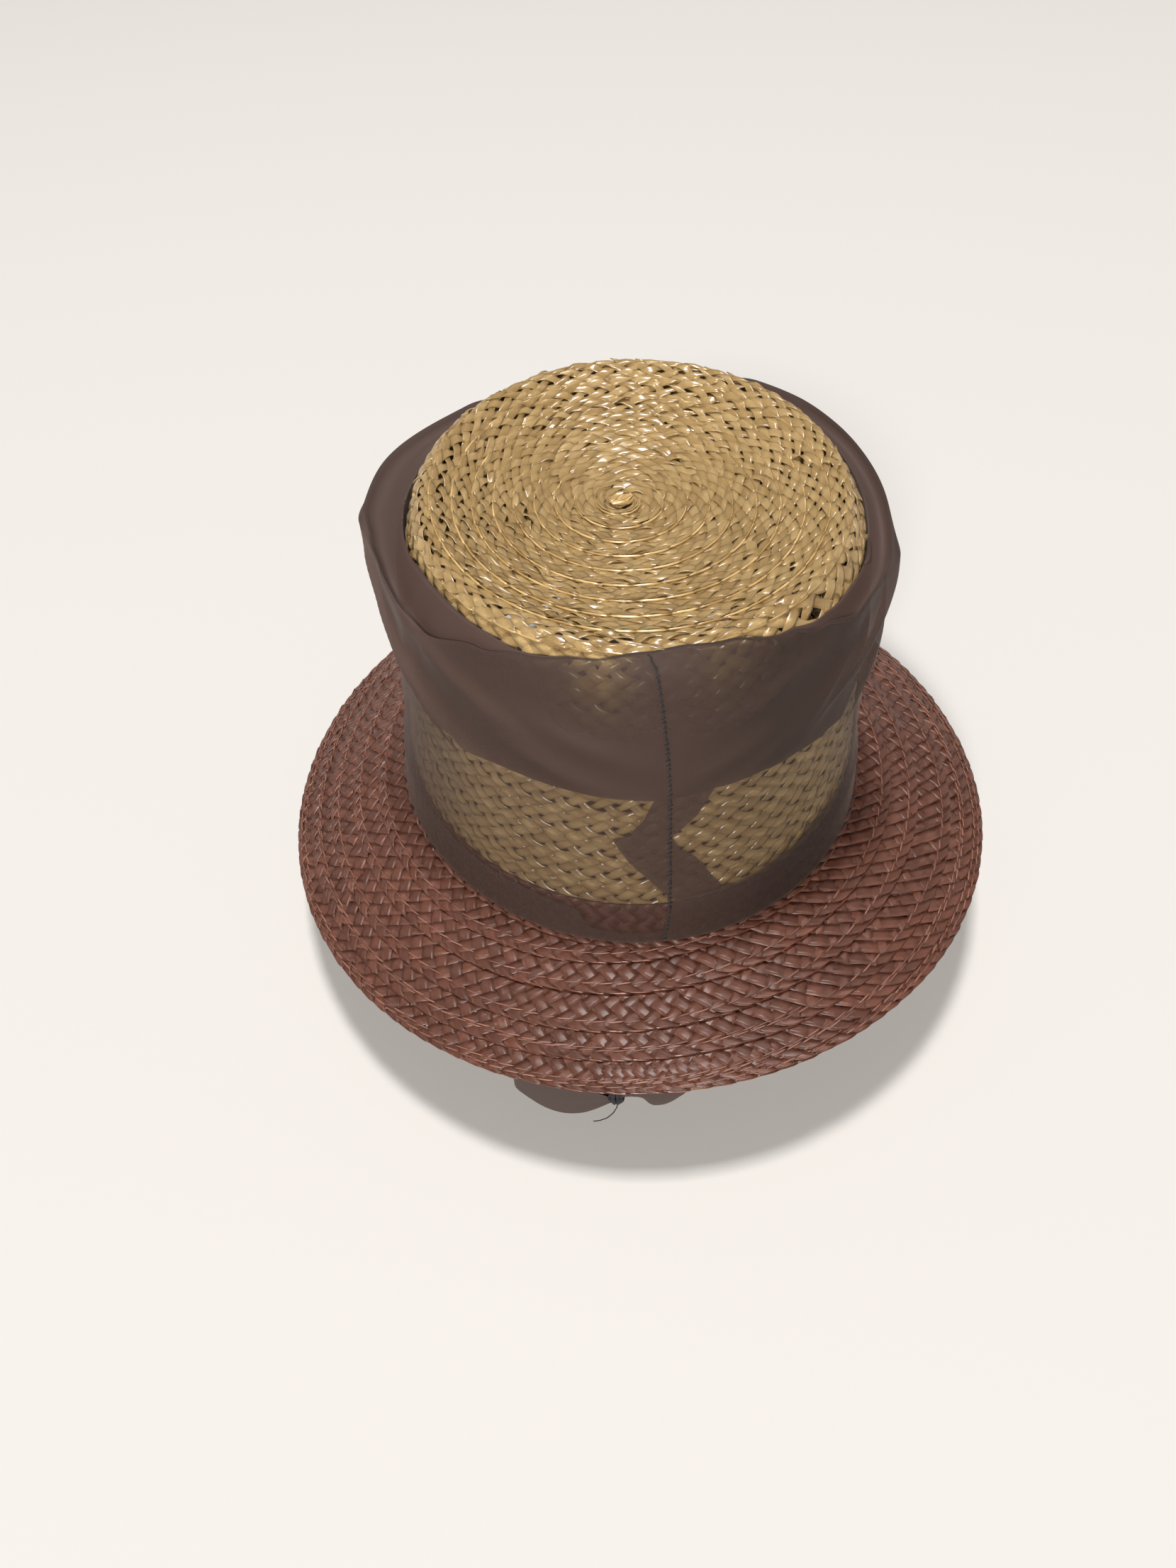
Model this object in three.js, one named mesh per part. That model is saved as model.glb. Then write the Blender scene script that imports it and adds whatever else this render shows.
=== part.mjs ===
// A lady's straw hat: a tall oval crown of natural braid sewn on a wide brim of brown braid,
// with a tube of sheer chiffon pulled over the crown and a small ribbon bow under the brim's back.
// Millimetres. +Z is up along the crown, the wearer looks along +Y, the seam and the bow are at -Y.
// The origin is the middle of the head opening, at the lower edge of the crown.

import * as THREE from 'three';
import { mergeVertices } from 'three/addons/utils/BufferGeometryUtils.js';

// Driving sizes of the crown, taken on the outside of the straw
const BASE_HALF_WIDTH = 83.2;
const BASE_HALF_LENGTH = 98.6;
const TOP_HALF_WIDTH = 75.6;
const TOP_HALF_LENGTH = 87.3;
const CROWN_HEIGHT = 109.5;                // of the rim at the back
const TOP_LEAN = { x: 4.8, y: 2.6 };       // the crown leans a little to the right and forward
const SPIRAL_START = { x: 1.7, y: 7.8 };   // where the braid of the tip starts

// Thicknesses and gaps
const STRAW = 2.0;                         // two lapped rows of braid
const CHIFFON = 1.0;
const RIBBON = 2.0;                        // two layers of ribbon pressed flat
const GAP = 0.3;

// Driving sizes of the brim, measured down its slope from the crown
const BRIM_WIDTH = 54.2;
const BRIM_SEAT = { inside: 2.0, outside: 2.4 };  // the level part that the crown stands on
const COLLAR = { height: 14.5, thickness: 1.0 };  // the brim's first row, turned up round the crown
const BRIM_EDGE_ROUND = 0.6;               // how far in from the rim its faces start to round over
const BRIM_DROOP = { all: 22.0, front: 7.9, ends: 2.2, left: 2.8 };  // degrees below level

// How finely the round bodies are divided
const CROWN_SIDES = 72;
const BRIM_SIDES = 80;
const WRAP_SIDES = 96;
const BRIM_STEPS = 4;
const ARC_STEPS = 24;
const SMALL_TURN = 1e-3;                   // radians, to measure arcs along the brim
const SAME_PLACE = 1e-4;                   // points closer than this are one point

// The crown's outer face from its lower edge to the rim: its share of the wall's half width there,
// and how much higher the row is at the front
const WALL_ROWS = [
  { height: 0, share: 1.0, frontRise: 0 },
  { height: 35, share: 1.004, frontRise: 0 },
  { height: 70, share: 1.006, frontRise: 0 },
  { height: 95, share: 1.0, frontRise: 0.8 },
  { height: 102, share: 0.99, frontRise: 2.4 },
  { height: 106, share: 0.965, frontRise: 4.2 },
  { height: 108.8, share: 0.93, frontRise: 5.4 },
];

// The sunken tip inside the rim: a dish, deeper and steeper at the front, where the rim is higher.
// Its rows slide towards the spiral's start from the share where the dish begins.
const DISH_SHARE = 0.84;
const TIP_THINNING_SHARE = 0.9;            // inside this the straw's thickness is measured downwards
const TIP_ROWS = [
  { share: 0.89, front: 115.1, back: 109.5 },
  { share: 0.84, front: 113.6, back: 108.6 },
  { share: 0.76, front: 109.9, back: 107.7 },
  { share: 0.66, front: 106.9, back: 106.8 },
  { share: 0.5, front: 103.8, back: 105.4 },
  { share: 0.3, front: 102.3, back: 103.8 },
  { share: 0.12, front: 102.1, back: 102.5 },
  { share: 0, front: 101.8, back: 101.8 },
];

// The chiffon's top fold round the crown: its height, and how far it stands off the straw
const TOP_FOLD_ROWS = [
  { angle: -180, height: 101, stand: 11 },
  { angle: -170, height: 100.5, stand: 9 },
  { angle: -160, height: 98, stand: 7.5 },
  { angle: -152, height: 94.5, stand: 4.2 },
  { angle: -135, height: 101, stand: 2.2 },
  { angle: -125, height: 103.6, stand: 1 },
  { angle: -110, height: 105.8, stand: 0.3 },
  { angle: -97, height: 107.6, stand: 0 },
  { angle: -88, height: 108.3, stand: 0 },
  { angle: -77, height: 107.5, stand: 0 },
  { angle: -63, height: 104.6, stand: 0.6 },
  { angle: -53, height: 101.8, stand: 2.4 },
  { angle: -43, height: 99, stand: 5.5 },
  { angle: -25, height: 99.5, stand: 7.8 },
  { angle: -5, height: 104, stand: 7 },
  { angle: 20, height: 106.3, stand: 6.4 },
  { angle: 48, height: 103.5, stand: 9.5 },
  { angle: 70, height: 98, stand: 6 },
  { angle: 105, height: 97, stand: 5.5 },
  { angle: 125, height: 100.8, stand: 10.5 },
  { angle: 155, height: 101.5, stand: 15 },
  { angle: 168, height: 101, stand: 14.5 },
];

// Soft folds that run slantwise round the chiffon, each a long low ridge
const FOLDS = [
  { angle: -158, height: 84, rise: -0.5, reach: 30, spread: 7, relief: 2.2 },
  { angle: -140, height: 70, rise: -0.28, reach: 26, spread: 6, relief: 1.4 },
  { angle: -44, height: 82, rise: 0.55, reach: 30, spread: 6, relief: 2.2 },
  { angle: -32, height: 62, rise: 0.6, reach: 26, spread: 6, relief: 1.6 },
  { angle: 60, height: 78, rise: -0.3, reach: 40, spread: 8, relief: 1.8 },
  { angle: 130, height: 72, rise: 0.35, reach: 40, spread: 8, relief: 2.0 },
];

// The chiffon's rows from hem to top fold, as shares of the top fold's height
const WRAP_OUTER_SHARES = [0, 0.1, 0.2, 0.3, 0.4, 0.48, 0.56, 0.64, 0.71, 0.78, 0.84, 0.9, 0.95, 0.985];
const WRAP_INNER_SHARES = [1, 0.98, 0.955, 0.93, 0.84, 0.72, 0.56, 0.38, 0.2, 0];
const WRAP_FLARE_POWER = 1.7;              // how late up the wall the chiffon leaves the straw

// The bow under the brim: outlines along the brim's edge and down from its underside
const BOW = { angle: -100, inFromEdge: 3.3, hang: 2.9 };
const LEFT_LOOP = [
  { along: -3.4, drop: 0.8 },
  { along: -12, drop: 0.3 },
  { along: -26, drop: 0.3 },
  { along: -36.5, drop: 1.2 },
  { along: -37.2, drop: 6.5 },
  { along: -34, drop: 9.6 },
  { along: -27, drop: 14.6 },
  { along: -20, drop: 17.6 },
  { along: -11.5, drop: 16.2 },
  { along: -3.4, drop: 9.6 },
];
const RIGHT_LOOP = [
  { along: 4.2, drop: 0.8 },
  { along: 12, drop: 0.3 },
  { along: 22, drop: 0.3 },
  { along: 26.5, drop: 1.2 },
  { along: 24.5, drop: 4.2 },
  { along: 19.2, drop: 7.4 },
  { along: 13.8, drop: 9.4 },
  { along: 9.4, drop: 7.4 },
  { along: 4.2, drop: 5.4 },
];
const KNOT = { along: 0.4, drop: 1.6, halfWidth: 3.3, halfHeight: 4.8, halfDepth: 2.6 };

const radians = THREE.MathUtils.degToRad;
const mix = THREE.MathUtils.lerp;

// Half width, half length and middle of the crown's oval at a height
function crownOval(height) {
  const share = height / CROWN_HEIGHT;
  return {
    halfWidth: mix(BASE_HALF_WIDTH, TOP_HALF_WIDTH, share),
    halfLength: mix(BASE_HALF_LENGTH, TOP_HALF_LENGTH, share),
    x: TOP_LEAN.x * share,
    y: TOP_LEAN.y * share,
  };
}

// A point on an oval at an angle, moved out square to it
function onOval(oval, angle, out) {
  const c = Math.cos(angle);
  const s = Math.sin(angle);
  const normal = new THREE.Vector2(c / oval.halfWidth, s / oval.halfLength).normalize();
  return new THREE.Vector2(
    oval.x + oval.halfWidth * c + normal.x * out,
    oval.y + oval.halfLength * s + normal.y * out,
  );
}

// A closed body from one list of points for each angle. With poles, each list starts and ends on
// the axis; without, each list is a loop.
function roundBody(sides, pointsAt, poles) {
  const lists = [];
  for (let i = 0; i < sides; i += 1) {
    lists.push(pointsAt((2 * Math.PI * i) / sides));
  }
  const count = lists[0].length;
  const spans = poles ? count - 1 : count;
  const corners = [];
  const triangle = (a, b, c) => {
    if (Math.min(a.distanceTo(b), b.distanceTo(c), c.distanceTo(a)) > SAME_PLACE) {
      corners.push(a.x, a.y, a.z, b.x, b.y, b.z, c.x, c.y, c.z);
    }
  };
  for (let i = 0; i < sides; i += 1) {
    const here = lists[i];
    const next = lists[(i + 1) % sides];
    for (let j = 0; j < spans; j += 1) {
      const k = (j + 1) % count;
      triangle(here[j], next[j], next[k]);
      triangle(here[j], next[k], here[k]);
    }
  }
  const geometry = new THREE.BufferGeometry();
  geometry.setAttribute('position', new THREE.Float32BufferAttribute(corners, 3));
  return mergeVertices(geometry, SAME_PLACE);
}

// The crown: wall, rounded rim and sunken tip, one shell of straw open below
function crownGeometry() {
  const profile = [];
  for (const row of WALL_ROWS) {
    profile.push({ share: row.share, front: row.height + row.frontRise, back: row.height });
  }
  profile.push(...TIP_ROWS);

  const facePoint = (row, angle, inward) => {
    const height = mix(row.back, row.front, (1 + Math.sin(angle)) / 2);
    const oval = crownOval(Math.min(height, CROWN_HEIGHT));
    const onTip = THREE.MathUtils.clamp((1 - row.share) / (1 - DISH_SHARE), 0, 1);
    const overRim = THREE.MathUtils.clamp((1 - row.share) / (1 - TIP_THINNING_SHARE), 0, 1);
    const start = THREE.MathUtils.clamp(1 - row.share / DISH_SHARE, 0, 1);
    const share = Math.max(0, row.share - (inward * (1 - onTip)) / oval.halfWidth);
    return new THREE.Vector3(
      mix(oval.x, SPIRAL_START.x, start) + share * oval.halfWidth * Math.cos(angle),
      mix(oval.y, SPIRAL_START.y, start) + share * oval.halfLength * Math.sin(angle),
      height - inward * overRim,
    );
  };
  return roundBody(CROWN_SIDES, (angle) => {
    const outer = profile.map((row) => facePoint(row, angle, 0));
    const inner = profile.map((row) => facePoint(row, angle, STRAW));
    return [...inner.reverse(), ...outer];
  }, true);
}

// The wall's share of its straight half width at a height, between the rows of the wall's table
function wallShare(height) {
  let share = WALL_ROWS[0].share;
  for (let i = 1; i < WALL_ROWS.length; i += 1) {
    const low = WALL_ROWS[i - 1];
    const high = WALL_ROWS[i];
    const along = THREE.MathUtils.clamp((height - low.height) / (high.height - low.height), 0, 1);
    share += (high.share - low.share) * along;
  }
  return share;
}

// How far the brim droops below level at an angle round the hat
function brimSlope(angle) {
  return radians(
    BRIM_DROOP.all
    + BRIM_DROOP.front * Math.sin(angle)
    + BRIM_DROOP.ends * Math.cos(2 * angle)
    - BRIM_DROOP.left * Math.cos(angle),
  );
}

// A point on the brim's upper face, a distance down its slope from the crown
function onBrim(angle, distance) {
  const slope = brimSlope(angle);
  const place = onOval(crownOval(0), angle, distance * Math.cos(slope));
  const drop = Math.max(0, distance - BRIM_SEAT.outside) * Math.sin(slope);
  return new THREE.Vector3(place.x, place.y, -GAP - drop);
}

// A point beside the crown's wall, a distance out from it
function besideWall(angle, height, out) {
  const oval = crownOval(height);
  oval.halfWidth *= wallShare(height);
  oval.halfLength *= wallShare(height);
  const place = onOval(oval, angle, out);
  return new THREE.Vector3(place.x, place.y, height);
}

// The brim: a sloping oval ring with a rounded outer edge, and a collar turned up round the crown
function brimGeometry() {
  return roundBody(BRIM_SIDES, (angle) => {
    const upper = [];
    const lower = [];
    for (let i = 0; i <= BRIM_STEPS; i += 1) {
      const distance = mix(BRIM_SEAT.outside, BRIM_WIDTH - BRIM_EDGE_ROUND, i / BRIM_STEPS);
      upper.push(onBrim(angle, distance));
      lower.push(onBrim(angle, distance).setZ(onBrim(angle, distance).z - STRAW));
    }
    const edge = onBrim(angle, BRIM_WIDTH);
    edge.z -= STRAW / 2;
    const collar = [
      besideWall(angle, 0, GAP + COLLAR.thickness),
      besideWall(angle, COLLAR.height, GAP + COLLAR.thickness),
      besideWall(angle, COLLAR.height, GAP),
      besideWall(angle, 0, GAP).setZ(-GAP),
    ];
    const seatTop = onBrim(angle, -BRIM_SEAT.inside);
    const seatUnder = onBrim(angle, -BRIM_SEAT.inside);
    seatUnder.z -= STRAW;
    return [seatUnder, ...lower, edge, ...upper.reverse(), ...collar, seatTop];
  }, false);
}

// A value of the top fold's table at an angle, eased between its rows
function topFold(angle, column) {
  const degrees = ((((angle * 180) / Math.PI + 180) % 360) + 360) % 360 - 180;
  const last = TOP_FOLD_ROWS.length - 1;
  let from = TOP_FOLD_ROWS[last];
  let to = { ...TOP_FOLD_ROWS[0], angle: TOP_FOLD_ROWS[0].angle + 360 };
  for (let i = 0; i < last; i += 1) {
    if (degrees >= TOP_FOLD_ROWS[i].angle && degrees < TOP_FOLD_ROWS[i + 1].angle) {
      from = TOP_FOLD_ROWS[i];
      to = TOP_FOLD_ROWS[i + 1];
    }
  }
  const along = (degrees - from.angle) / (to.angle - from.angle);
  return mix(from[column], to[column], THREE.MathUtils.smoothstep(along, 0, 1));
}

// How far the slanting folds lift the chiffon at an angle and height
function foldRelief(angle, height) {
  let lift = 0;
  for (const fold of FOLDS) {
    const turn = Math.atan2(Math.sin(angle - radians(fold.angle)), Math.cos(angle - radians(fold.angle)));
    const along = turn * BASE_HALF_WIDTH;
    const off = height - fold.height - along * fold.rise;
    lift += fold.relief * Math.exp(-((along / fold.reach) ** 2) - (off / fold.spread) ** 2);
  }
  return lift;
}

// A point of the chiffon at an angle, as a share of the way from its hem to its top fold
function onWrap(angle, share, out) {
  const height = topFold(angle, 'height') * share;
  const stand = topFold(angle, 'stand') * share ** WRAP_FLARE_POWER;
  const offCollar = 1 - THREE.MathUtils.smoothstep(height, COLLAR.height, 2 * COLLAR.height);
  const overCollar = (COLLAR.thickness + GAP) * offCollar;
  const point = besideWall(angle, height, GAP * 2 + overCollar + stand + out);
  point.z += GAP;
  return point;
}

// The chiffon: a tube drawn over the crown, standing off it where it flares
function wrapGeometry() {
  return roundBody(WRAP_SIDES, (angle) => {
    const outer = WRAP_OUTER_SHARES.map((share) => {
      const height = topFold(angle, 'height') * share;
      return onWrap(angle, share, CHIFFON + foldRelief(angle, height));
    });
    const crest = onWrap(angle, 1, CHIFFON / 2);
    crest.z += CHIFFON / 2;
    const inner = WRAP_INNER_SHARES.map((share) => onWrap(angle, share, 0));
    return [...outer, crest, ...inner];
  }, false);
}

// The arc along the brim near its back edge: place and facing at a distance from the bow's knot
function underBrim(along) {
  const distance = BRIM_WIDTH - BOW.inFromEdge;
  let angle = radians(BOW.angle);
  for (let i = 0; i < ARC_STEPS; i += 1) {
    const here = onBrim(angle, distance);
    const ahead = onBrim(angle + SMALL_TURN, distance);
    const arcPerRadian = Math.hypot(ahead.x - here.x, ahead.y - here.y) / SMALL_TURN;
    angle += along / ARC_STEPS / arcPerRadian;
  }
  const here = onBrim(angle, distance);
  const ahead = onBrim(angle + SMALL_TURN, distance);
  const facing = new THREE.Vector2(ahead.y - here.y, here.x - ahead.x).normalize();
  return { place: here, facing };
}

// Bends a flat piece, drawn along the edge and downwards, to follow the brim
function bentUnderBrim(geometry) {
  const position = geometry.getAttribute('position');
  for (let i = 0; i < position.count; i += 1) {
    const { place, facing } = underBrim(position.getX(i));
    const out = position.getZ(i);
    position.setXYZ(
      i,
      place.x + facing.x * out,
      place.y + facing.y * out,
      place.z - BOW.hang + position.getY(i),
    );
  }
  geometry.deleteAttribute('normal');
  geometry.deleteAttribute('uv');
  return mergeVertices(geometry, SAME_PLACE);
}

// A loop of ribbon pressed flat, from its outline
function loopGeometry(outline) {
  const points = outline.map((point) => new THREE.Vector2(point.along, -point.drop));
  const shape = new THREE.Shape(points);
  const geometry = new THREE.ExtrudeGeometry(shape, { depth: RIBBON, bevelEnabled: false });
  geometry.translate(0, 0, -RIBBON / 2);
  return bentUnderBrim(geometry);
}

// The knot: a small rounded lump between the loops
function knotGeometry() {
  const geometry = new THREE.SphereGeometry(1, 12, 8);
  geometry.scale(KNOT.halfWidth, KNOT.halfHeight, KNOT.halfDepth);
  geometry.translate(KNOT.along, -KNOT.drop - KNOT.halfHeight, 0);
  return bentUnderBrim(geometry);
}

const naturalStraw = new THREE.MeshStandardMaterial({ color: 0xcca975, roughness: 0.6, metalness: 0 });
const brownStraw = new THREE.MeshStandardMaterial({ color: 0x7a5143, roughness: 0.5, metalness: 0 });
const brownChiffon = new THREE.MeshStandardMaterial({
  color: 0x41342d,
  roughness: 0.8,
  metalness: 0,
  transparent: true,
  opacity: 0.7,
});
const brownRibbon = new THREE.MeshStandardMaterial({ color: 0x58443d, roughness: 0.6, metalness: 0 });
const navyThread = new THREE.MeshStandardMaterial({ color: 0x2a2f3f, roughness: 0.8, metalness: 0 });

function piece(name, geometry, material) {
  const mesh = new THREE.Mesh(geometry, material);
  mesh.name = name;
  return mesh;
}

const hat = new THREE.Group();
hat.add(piece('crown', crownGeometry(), naturalStraw));
hat.add(piece('brim', brimGeometry(), brownStraw));
hat.add(piece('chiffon_wrap', wrapGeometry(), brownChiffon));
hat.add(piece('bow_loop_left', loopGeometry(LEFT_LOOP), brownRibbon));
hat.add(piece('bow_loop_right', loopGeometry(RIGHT_LOOP), brownRibbon));
hat.add(piece('bow_knot', knotGeometry(), navyThread));

export default hat;
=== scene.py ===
import math

import bpy
import numpy as np
from mathutils import Matrix, Vector


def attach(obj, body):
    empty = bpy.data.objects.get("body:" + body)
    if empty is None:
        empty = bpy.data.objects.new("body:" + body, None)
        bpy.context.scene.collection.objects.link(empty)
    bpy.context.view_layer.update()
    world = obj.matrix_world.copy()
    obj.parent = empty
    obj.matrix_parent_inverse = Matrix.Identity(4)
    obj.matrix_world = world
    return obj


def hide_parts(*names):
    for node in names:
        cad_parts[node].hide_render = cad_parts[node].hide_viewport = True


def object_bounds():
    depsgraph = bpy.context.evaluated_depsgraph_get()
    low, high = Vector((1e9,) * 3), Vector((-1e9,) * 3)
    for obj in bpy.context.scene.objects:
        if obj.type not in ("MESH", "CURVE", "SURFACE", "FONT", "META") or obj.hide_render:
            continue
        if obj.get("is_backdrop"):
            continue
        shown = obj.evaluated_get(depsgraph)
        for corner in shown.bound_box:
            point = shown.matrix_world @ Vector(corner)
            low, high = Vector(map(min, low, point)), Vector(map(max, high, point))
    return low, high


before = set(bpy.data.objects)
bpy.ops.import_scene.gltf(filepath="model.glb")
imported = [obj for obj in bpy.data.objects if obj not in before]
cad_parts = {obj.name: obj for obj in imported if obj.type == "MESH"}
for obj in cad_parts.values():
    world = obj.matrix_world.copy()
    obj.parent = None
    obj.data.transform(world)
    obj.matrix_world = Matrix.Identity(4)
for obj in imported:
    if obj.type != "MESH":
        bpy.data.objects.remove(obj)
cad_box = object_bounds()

# A lady's straw hat, seen from behind and above: an openwork crown of natural straw braid, a wide
# brim of brown straw braid, a tube of sheer brown chiffon over the crown, and a ribbon bow below.
# Lengths are millimetres until a mesh is made, angles are degrees from +X, and the back is at -90.


# The view: a phone held behind and above the hat, turned down by half a right angle. The lens is
# given for a 36 mm picture on its long side.
MM = 0.001                         # a millimetre in metres
CAMERA_PLACE = (-43.9, -366.7, 344.1)
CAMERA_DOWN, CAMERA_TURN, CAMERA_ROLL = 44.97, 4.3, -3.63
CAMERA_LENS = 29.83

down, turn, roll = (math.radians(a) for a in (CAMERA_DOWN, CAMERA_TURN, CAMERA_ROLL))
ahead = Vector((math.sin(turn) * math.cos(down), math.cos(turn) * math.cos(down), -math.sin(down)))
level = Vector((math.cos(turn), -math.sin(turn), 0))
upward = level.cross(ahead)
right = level * math.cos(roll) + upward * math.sin(roll)
top = upward * math.cos(roll) - level * math.sin(roll)
camera = bpy.data.objects.new("camera", bpy.data.cameras.new("camera"))
camera.data.lens = CAMERA_LENS
camera.data.sensor_width = 36
camera.data.clip_start = 0.01
camera.matrix_world = Matrix.Translation(Vector(CAMERA_PLACE) * MM) @ Matrix(
    (right, top, -ahead)).transposed().to_4x4()
bpy.context.scene.collection.objects.link(camera)
bpy.context.scene.camera = camera
bpy.context.scene.view_settings.view_transform = "Standard"


# The studio: a pale floor below the hat, a large soft light from behind the camera, a smaller one
# high above that the glossy straw mirrors, and a weak even fill.
FLOOR_DROP, FLOOR_HALF = 50, 6000
FLOOR_COLOUR = (0.62, 0.60, 0.575, 1)


def plain_finish(name, colour, roughness):
    """A finish of one Principled shader, to which a section adds its own texture."""
    material = bpy.data.materials.new(name)
    material.use_nodes = True
    shader = material.node_tree.nodes["Principled BSDF"]
    shader.inputs["Base Color"].default_value = colour
    shader.inputs["Roughness"].default_value = roughness
    return material


def mesh_piece(name, points, faces, material):
    """A smooth-shaded piece from points in millimetres and lists of corners."""
    mesh = bpy.data.meshes.new(name)
    faces = np.asarray(faces)
    mesh.vertices.add(len(points))
    mesh.vertices.foreach_set("co", (np.asarray(points, float) * MM).ravel())
    mesh.loops.add(faces.size)
    mesh.loops.foreach_set("vertex_index", faces.ravel().astype(np.int32))
    mesh.polygons.add(len(faces))
    mesh.polygons.foreach_set("loop_start", np.arange(0, faces.size, faces.shape[1], dtype=np.int32))
    mesh.polygons.foreach_set("use_smooth", np.full(len(faces), True))
    mesh.update(calc_edges=True)
    mesh.validate()
    mesh.materials.append(material)
    piece = bpy.data.objects.new(name, mesh)
    bpy.context.scene.collection.objects.link(piece)
    return piece


floor_finish = plain_finish("floor_paint", FLOOR_COLOUR, 0.85)
floor = mesh_piece(
    "floor",
    [(x * FLOOR_HALF, y * FLOOR_HALF, -FLOOR_DROP) for x, y in ((-1, -1), (1, -1), (1, 1), (-1, 1))],
    [(0, 1, 2, 3)], floor_finish)
floor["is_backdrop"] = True


def soft_light(name, place, aim, size, power, colour):
    """A square area light at a place in metres, turned towards a point."""
    lamp = bpy.data.objects.new(name, bpy.data.lights.new(name, "AREA"))
    lamp.data.size = size
    lamp.data.energy = power
    lamp.data.color = colour
    lamp.location = place
    lamp.rotation_mode = "QUATERNION"
    lamp.rotation_quaternion = (Vector(aim) - Vector(place)).to_track_quat("-Z", "Y")
    bpy.context.scene.collection.objects.link(lamp)


soft_light("front_window", (-1.9, -6.3, 4.2), (0, 0, 0), 1.6, 640, (1.0, 0.97, 0.93))
soft_light("high_light", (0.1, 0.9, 5.8), (0, 0, 0), 0.9, 280, (1.0, 0.98, 0.97))
world = bpy.data.worlds.new("room")
world.use_nodes = True
world.node_tree.nodes["Background"].inputs["Color"].default_value = (0.95, 0.97, 1.0, 1)
world.node_tree.nodes["Background"].inputs["Strength"].default_value = 0.13
bpy.context.scene.world = world


# The crown's shape, on the outside of the straw: an oval wall that leans a little, a rounded rim
# and a sunken tip. Its braid is one long spiral, counted in rings from the middle of the tip, and
# each ring is sewn under the one before it.
BASE_HALF_WIDTH, BASE_HALF_LENGTH = 83.2, 98.6
TOP_HALF_WIDTH, TOP_HALF_LENGTH = 75.6, 87.3
CROWN_HEIGHT = 109.5
TOP_LEAN = (4.8, 2.6)
SPIRAL_START = (1.7, 7.8)
DISH_SHARE = 0.84
BRAID_PITCH = 8.75
CROWN_RINGS = 21.3
# Ring, share of the oval's half width, height at the front, height at the back
CROWN_PROFILE = np.array([
    (0.0, 0.0, 101.8, 101.8),
    (1.25, 0.12, 102.0, 102.5),
    (3.14, 0.3, 102.1, 103.8),
    (5.24, 0.5, 103.4, 105.4),
    (6.9, 0.66, 106.2, 106.8),
    (7.96, 0.76, 109.1, 107.7),
    (8.8, 0.84, 112.6, 108.6),
    (9.3, 0.89, 114.1, 109.5),
    (9.75, 0.93, 113.3, 108.8),
    (10.2, 0.965, 109.6, 106.0),
    (10.6, 0.99, 104.2, 102.0),
    (11.2, 1.0, 95.8, 95.0),
    (13.9, 1.006, 70.0, 70.0),
    (17.6, 1.004, 35.0, 35.0),
    (21.4, 1.0, 0.0, 0.0),
])


def eased(table, column, at):
    """A column of a table at places along its first column, on a smooth curve through its rows."""
    x, y = table[:, 0], table[:, column]
    slope = np.gradient(y, x)
    i = np.clip(np.searchsorted(x, at, side="right") - 1, 0, len(x) - 2)
    step = x[i + 1] - x[i]
    t = np.clip((at - x[i]) / step, 0, 1)
    return ((1 + 2 * t) * (1 - t) ** 2 * y[i] + t * (1 - t) ** 2 * step * slope[i]
            + t * t * (3 - 2 * t) * y[i + 1] + t * t * (t - 1) * step * slope[i + 1])


def levelled(t):
    """A share from 0 to 1 that starts and ends level."""
    return t * t * (3 - 2 * t)


def crown_oval(height):
    """Half width, half length and middle of the crown's oval at a height."""
    share = height / CROWN_HEIGHT
    return (BASE_HALF_WIDTH + (TOP_HALF_WIDTH - BASE_HALF_WIDTH) * share,
            BASE_HALF_LENGTH + (TOP_HALF_LENGTH - BASE_HALF_LENGTH) * share,
            TOP_LEAN[0] * share, TOP_LEAN[1] * share)


def crown_place(ring, angle):
    """A point on the outside of the crown, at a ring of the spiral and an angle in radians."""
    front = (1 + np.sin(angle)) / 2
    ring = np.maximum(ring, 0)
    height = eased(CROWN_PROFILE, 2, ring) * front + eased(CROWN_PROFILE, 3, ring) * (1 - front)
    share = eased(CROWN_PROFILE, 1, ring)
    half_width, half_length, x, y = crown_oval(np.minimum(height, CROWN_HEIGHT))
    to_start = np.clip(1 - share / DISH_SHARE, 0, 1)
    x = x + (SPIRAL_START[0] - x) * to_start + share * half_width * np.cos(angle)
    y = y + (SPIRAL_START[1] - y) * to_start + share * half_length * np.sin(angle)
    return np.stack([x, y, height], -1)


def outward(place, across, round_it):
    """Unit vectors square to a surface, from a function of two values and where it is asked."""
    nudge = 0.02
    a = place(across + nudge, round_it) - place(across - nudge, round_it)
    b = place(across, round_it + nudge) - place(across, round_it - nudge)
    n = np.cross(a, b)
    return n / np.maximum(np.linalg.norm(n, axis=-1, keepdims=True), 1e-9)


def spiral_angle(ring):
    """The angle of the crown's spiral at a ring: it runs outwards with the clock's hands."""
    return math.radians(-90) - 2 * math.pi * ring


# The crown's braid: flat strands of natural straw that cross each other at a low slant between the
# braid's two edges. Further out, the strands are narrower in one part of the braid and leave two
# close lines of small openings there in each ring.
STRAND_SPACING = 8.3
STRAND_FILL = 0.985                # how much of its spacing a whole strand fills
STRAND_SLANT = 1.85                # how far a strand goes along the braid for each step across it
BRAID_WIDTH = 10.4
OPEN_LINE = 3.1                    # where the strands of the two sets meet, in from the outer edge
STRAND_THICK = 0.5
WEAVE_RISE = 0.42
STRAND_DOME = 0.45                 # how much lower a strand's two sides are than its middle
TIP_TWIST, WALL_TWIST = 0.5, 0.12  # how unevenly a strand's two sides lie
BRAID_FACE = -0.4                  # the outer edge of a ring, off the crown's face
RING_LAP = 1.05                    # how much deeper a ring lies one pitch in from its outer edge
OPENING_FROM, OPENING_TO = 2.3, 6.1  # the open part, in from the ring's outer edge
OPENING_SHARE = 0.36               # how much narrower a strand is there
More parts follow.
